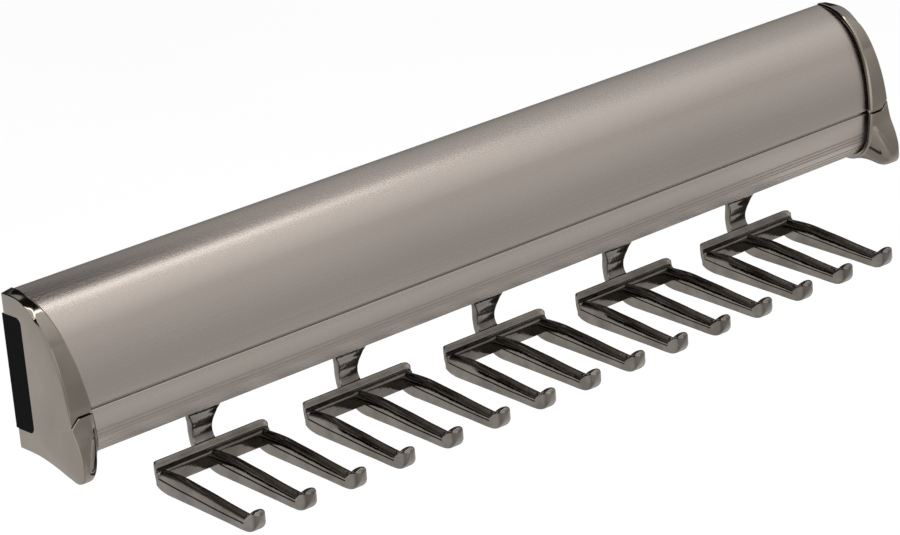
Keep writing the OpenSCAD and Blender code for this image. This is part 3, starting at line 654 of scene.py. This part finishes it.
barShape = dict(half=22.34, corner=2.3, edge=0.9, middle=(14.7, -43.8), nearest=0.5, counts=(14, 21),
                profile=[(13.2, -39.72), (12.95, -39.8), (12.78, -40.1), (12.72, -40.8),
                         (12.75, -42.2), (12.9, -44.2), (13.5, -45.9), (14.6, -47.1),
                         (15.4, -47.45), (16.05, -47.5), (16.35, -47.3), (16.38, -46.5),
                         (16.38, -43.6), (16.36, -43.1), (16.28, -42.7), (16.1, -42.38),
                         (15.7, -42.2), (15.2, -42.02), (14.8, -41.88), (14.5, -41.7),
                         (14.3, -41.45), (13.95, -40.9), (13.4, -39.88)])
stemShape = dict(count=60, halfCount=200, corner=0.45, cornerCount=5,
                 front=[(15.3, -23.1), (15.3, -26.2), (14.9, -27.6), (13.6, -29.0), (12.84, -30.4),
                        (12.46, -32.0), (11.69, -34.2), (11.2, -35.8), (11.07, -37.2),
                        (11.2, -38.6), (11.8, -39.9), (13.9, -41.5)],
                 back=[(9.3, -23.1), (10.6, -26.0), (11.3, -28.4), (11.35, -30.0), (11.0, -31.3),
                       (10.15, -32.5), (9.14, -34.5), (8.75, -35.8), (8.58, -37.2),
                       (8.65, -39.4), (9.36, -41.5), (12.5, -43.4)],
                 half=[(0, 7.0), (0.15, 7.0), (0.27, 6.7), (0.36, 6.2), (0.43, 5.4), (0.5, 4.8),
                       (0.62, 4.2), (0.75, 3.95), (0.84, 4.0), (0.92, 4.35), (1, 5.0)])
hookShape = dict(pitch=59.8, middle=3, prongPitch=20.0, sharpFrom=32)


def prongLoops(s):
    # at each u: flat sides, a rounded sole and a half ellipse on top; the nose end shrinks to a
    # half circle
    h, tip, n = s["half"], s["tip"], s["counts"]
    near = np.linspace(s["start"], s["root"] - s["rootGap"][0], n[0])
    nose = np.linspace(s["root"] + s["rootGap"][1], tip - h, n[1])
    end = tip - h + h * np.sin(np.linspace(0, np.pi / 2, n[2]))[1:]
    u = np.concatenate([near, nose, end])
    wide = np.where(u > tip - h, h * np.sqrt(np.clip(1 - ((u - tip + h) / h)**2, 0, 1)), h)
    wide = np.maximum(wide, s["thinnest"])
    crest, edge, sole = (np.interp(u, *smoothLine(s[k], s["lineCount"]).T)
                         for k in ("crest", "edge", "under"))
    noseCrest, noseEdge = (np.interp(u, *smoothLine(s[k], s["noseCount"]).T)
                           for k in ("noseCrest", "noseEdge"))
    c, r = s["noseCentre"], s["noseRadius"]
    sole = np.where(u > c[0], c[1] - np.sqrt(np.clip(r**2 - (u - c[0])**2, 0, None)), sole)
    isNose = u > s["root"]
    edge = np.maximum(np.where(isNose, noseEdge, edge), sole + s["sideLeast"])
    crest = np.maximum(np.where(isNose, noseCrest, crest), edge + s["archLeast"])
    bend = s["soleRound"] + s["soleMore"] * ease(u, *s["soleSpan"])
    bend = np.minimum(np.minimum(bend, s["soleOfSide"] * (edge - sole)), wide * s["soleOfHalf"])
    inner = wide - s["ledge"] * (1 - isNose)
    corner = np.radians(np.linspace(-90, 0, s["cornerCount"]))
    arch = np.radians(np.linspace(0, 90, s["archCount"]))
    lift = np.linspace(0, 1, s["liftCount"])[1:]
    rise = [s["archFoot"] + (1 - s["archFoot"]) * math.sin(a) for a in arch]
    right = [np.stack([0 * u, sole])]
    right += [np.stack([wide - bend + bend * math.cos(a), sole + bend + bend * math.sin(a)]) for a in corner]
    right += [np.stack([wide, (sole + bend) * (1 - k) + edge * k]) for k in lift]
    right += [np.stack([inner * math.cos(a), edge + (crest - edge) * k]) for a, k in zip(arch, rise)]
    right = np.array(right).transpose(2, 0, 1)                      # station, point, (x, z)
    loop = np.concatenate([right, right[:, 1:-1][:, ::-1] * [-1, 1]], 1)
    return np.stack([loop[..., 0], np.broadcast_to(u[:, None], loop.shape[:2]), loop[..., 1]], -1)


def barLoops(s):
    # the bar's profile carried along x; near the ends its back comes forward on a round corner,
    # and the last bit shrinks towards the profile's middle
    half, r, edge = s["half"], s["corner"], s["edge"]
    end = half - r + r * np.sin(np.linspace(0, np.pi / 2, s["counts"][0]))
    x = np.concatenate([-end[::-1], np.linspace(-half + r, half - r, s["counts"][1])[1:-1], end])
    profile, middle = np.array(s["profile"]), np.array(s["middle"])
    over = np.clip(np.abs(x) - (half - r), 0, r)
    forward = r * (1 - np.sqrt(np.clip(1 - (over / r)**2, 0, 1)))
    front, back = profile[:, 0].max(), profile[:, 0].min()
    u = profile[None, :, 0] + forward[:, None] * (front - profile[None, :, 0]) / (front - back)
    last = np.clip((np.abs(x) - (half - edge)) / edge, 0, 1)
    sink = edge * (1 - np.sqrt(1 - last**2))[:, None, None]
    out = np.stack([u, np.broadcast_to(profile[None, :, 1], u.shape)], -1) - middle
    out *= 1 - sink / np.maximum(np.linalg.norm(out, axis=-1, keepdims=True), s["nearest"])
    return np.concatenate([np.broadcast_to(x[:, None, None], (*u.shape, 1)), out + middle], -1)


def stemLoops(s):
    # rounded slabs between a front and a back curve, as wide as half says along the way
    front, back = smoothLine(s["front"], s["count"]), smoothLine(s["back"], s["count"])
    wide = np.interp(np.linspace(0, 1, s["count"]), *smoothLine(s["half"], s["halfCount"]).T)
    thick = np.linalg.norm(front - back, axis=1)
    r = s["corner"]
    loops = []
    for right, ahead, start in ((1, 1, 0), (-1, 1, 90), (-1, 0, 180), (1, 0, 270)):
        for a in np.radians(np.linspace(0, 90, s["cornerCount"])) + math.radians(start):
            x = right * (wide - r) + r * math.cos(a)
            t = (ahead * (thick - 2 * r) + r + r * math.sin(a)) / thick
            loops.append(np.column_stack([x, back + (front - back) * t[:, None]]))
    return np.array(loops).transpose(1, 0, 2)


def makeHook(s, name, centre):
    # closed tubes for the stem, the bar and the prongs, run into each other
    prong = prongLoops(prongShape)
    tubes = [stemLoops(stemShape), barLoops(barShape)]
    tubes += [prong + [k * s["prongPitch"], 0, 0] for k in (-1, 0, 1)]
    points, faces, start = [], [], 0
    for tube in tubes:
        rows, cols = tube.shape[:2]
        points.append(tube.reshape(-1, 3))
        faces += gridFaces(rows, cols, start, ring=True) + endFaces(rows, cols, start)
        start += rows * cols
    return makePiece(name, np.concatenate(points) + [centre, 0, 0], faces, s["sharpFrom"])


for number in range(1, 6):
    centre = (number - hookShape["middle"]) * hookShape["pitch"]
    dress(makeHook(hookShape, "hookCast%d" % number, centre), "black_chrome", "hook_%d" % number)
print("hooks drawn")


# studio, in metres: white world and pale floor, one soft lamp in front, and a round room, a
# ceiling and a bright strip that only reflections see. Curves are (place, brightness) pairs:
# toRight and toLeft go by the angle about the x axis, 0 in front and 90 above
studioSet = dict(world=1.0, floorAt=-0.45, floorHalf=6.0, floorShade=0.9, floorSpeck=0.02,
                 floorSizes=(3, 3, 3), floorRough=0.9, roomSteps=4,
                 lampPlace=(-0.9, -1.7, 1.5), lampSize=(1.6, 1.0), lampPower=30,
                 roomRadius=3.0, turnSpan=(-0.6, 0.6), glowMost=4.0,
                 toRight=[(-180, 0.08), (-141, 0.2), (-117, 0.7), (-95, 1.5), (-81, 1.7), (-57, 1.66),
                          (-35, 1.5), (-25, 1.22), (-15, 0.92), (0, 0.93), (18, 1.12), (38, 1.5),
                          (55, 1.7), (78, 1.8), (100, 1.3), (127, 0.75), (143, 0.45), (150, 0.03),
                          (180, 0.03)],
                 toLeft=[(-180, 1.6), (-154, 1.6), (-120, 1.3), (-90, 1.0), (-60, 0.9), (-20, 1.2),
                         (0, 2.0), (25, 2.6), (50, 2.0), (80, 1.0), (110, 0.3), (130, 0.15),
                         (146, 0.12), (161, 0.2), (171, 1.3), (180, 1.6)],
                 ceilingAt=0.8, ceilingBox=(-3.2, 2.2, -1.3, 1.1), ceilingDark=(0.004, 0.004, 0.004),
                 ceilingDeep=[(-1.3, 1.35), (-1.0, 1.52), (-0.57, 1.85), (-0.28, 2.05), (-0.16, 2.1),
                              (-0.05, 2.0), (0.06, 1.6), (0.15, 1.45), (0.3, 1.4), (0.6, 1.15),
                              (1.05, 0.8), (1.1, 0.7)],
                 fadeSpan=(0.46, 1.0), fadeMost=0.25, darkLeftOf=(0.425, 0.45),
                 darkBehind=(-0.002, 0.022), stripAt=0.79, stripBox=(-3.0, 0.5, -0.07, -0.015),
                 stripGlow=9.0)


def makeWorld(s):
    # white to the camera and in mirrors and glass, and as a light of the world's strength
    world = bpy.data.worlds.new("whiteRoom")
    world.use_nodes = True
    bpy.context.scene.world = world
    world.node_tree.nodes.clear()
    w = Nodes(world.node_tree)
    camera, glossy, through = (w.node("LightPath", {}, {}, "Is %s Ray" % kind)
                               for kind in ("Camera", "Glossy", "Transmission"))
    seen = w.maths("MAXIMUM", camera, w.maths("MAXIMUM", glossy, through))
    light, white = (w.node("Background", {}, {"Color": (1, 1, 1, 1), "Strength": strength})
                    for strength in (s["world"], 1.0))
    chosen = w.node("MixShader", {}, {0: seen, 1: light, 2: white})
    out = w.tree.nodes.new("ShaderNodeOutputWorld")
    w.tree.links.new(chosen.socket, out.inputs["Surface"])


def flatMesh(name, box, z):
    # one level rectangle, box = (x from, x to, y from, y to)
    x0, x1, y0, y1 = box
    mesh = bpy.data.meshes.new(name)
    mesh.from_pydata([(x0, y0, z), (x1, y0, z), (x1, y1, z), (x0, y1, z)], [], [(0, 1, 2, 3)])
    return mesh


def makeFloor(s):
    # a level square that mirror rays pass by
    w, c = s["floorHalf"], s["floorShade"]
    floor = addObject("paleFloor", flatMesh("paleFloor", (-w, w, -w, w), s["floorAt"]))
    f = Finish("floorPaint", Roughness=s["floorRough"], Specular_IOR_Level=0.0)
    speck = f.blend(f.noise(s["floorSizes"], 2), (c,) * 3, (c + s["floorSpeck"],) * 3)
    floor.data.materials.append(f.feed(Base_Color=speck))
    floor.visible_glossy = False


def makeLamp(s):
    # a rectangle of light aimed at the origin, not seen itself
    data = bpy.data.lights.new("frontSoftbox", "AREA")
    data.shape = "RECTANGLE"
    data.size, data.size_y = s["lampSize"]
    data.energy = s["lampPower"]
    lamp = addObject("frontSoftbox", data)
    back = np.array(s["lampPlace"]) / np.linalg.norm(s["lampPlace"])
    lamp.matrix_world = Matrix.Translation(s["lampPlace"]) @ facing(back)
    lamp.visible_camera = lamp.visible_glossy = False


def glowPaint(name, strength, **fixed):
    # black paint that only glows
    return Finish(name, Base_Color=(0, 0, 0, 1), Roughness=1.0, Specular_IOR_Level=0.0,
                  Emission_Strength=strength, **fixed)


def stageCard(mesh, paint):
    # only reflections see a card
    mesh.materials.append(paint)
    card = addObject(mesh.name, mesh)
    card.visible_camera = card.visible_diffuse = card.visible_shadow = False
    card.visible_transmission = False


def curve(f, wire, span, stops, most):
    # grey read from (place, brightness) pairs, straight between them, as a share of the most
    low, high = span
    stops = [((at - low) / (high - low), (bright / most,) * 3) for at, bright in stops]
    return f.node("ValToRGB", {"stops": stops}, {"Fac": f.spread(wire, span)})


def makeRoom(s):
    # a ball whose brightness follows the angle about the x axis, blended from left to right
    mesh = bpy.data.meshes.new("reflectedRoom")
    ball = bmesh.new()
    bmesh.ops.create_icosphere(ball, subdivisions=s["roomSteps"], radius=s["roomRadius"])
    ball.to_mesh(mesh)
    ball.free()
    f = glowPaint("roomGlow", s["glowMost"])
    turn = f.maths("ARCTAN2", f.axis("Z"), 0 - f.axis("Y")) * (180 / math.pi)
    right, left = (curve(f, turn, (-180, 180), s[k], s["glowMost"]) for k in ("toRight", "toLeft"))
    side = f.spread(f.axis("X"), s["turnSpan"])
    stageCard(mesh, f.feed(Emission_Color=f.blend(side, left, right)))


def makeCeiling(s):
    # brightest just before the wall, a little dimmer to the far right, and dark behind the wall's
    # plane up to darkLeftOf
    f = glowPaint("ceilingGlow", s["glowMost"])
    x, y = f.axis("X"), f.axis("Y")
    glow = curve(f, y, s["ceilingBox"][2:], s["ceilingDeep"], s["glowMost"])
    faded = f.spread(x, s["fadeSpan"], (0.0, s["fadeMost"]))
    dark = (1 - f.spread(x, s["darkLeftOf"])) * f.spread(y, s["darkBehind"])
    shade = f.blend(f.maths("MAXIMUM", faded, dark), glow, s["ceilingDark"])
    stageCard(flatMesh("reflectedCeiling", s["ceilingBox"], s["ceilingAt"]), f.feed(Emission_Color=shade))


def makeStrip(s):
    # an even white band just under the ceiling
    glow = glowPaint("stripGlow", s["stripGlow"], Emission_Color=(1, 1, 1, 1))
    stageCard(flatMesh("stripGlow", s["stripBox"], s["stripAt"]), glow.material)


for make in (makeWorld, makeFloor, makeRoom, makeCeiling, makeStrip, makeLamp):
    make(studioSet)
print("studio set")
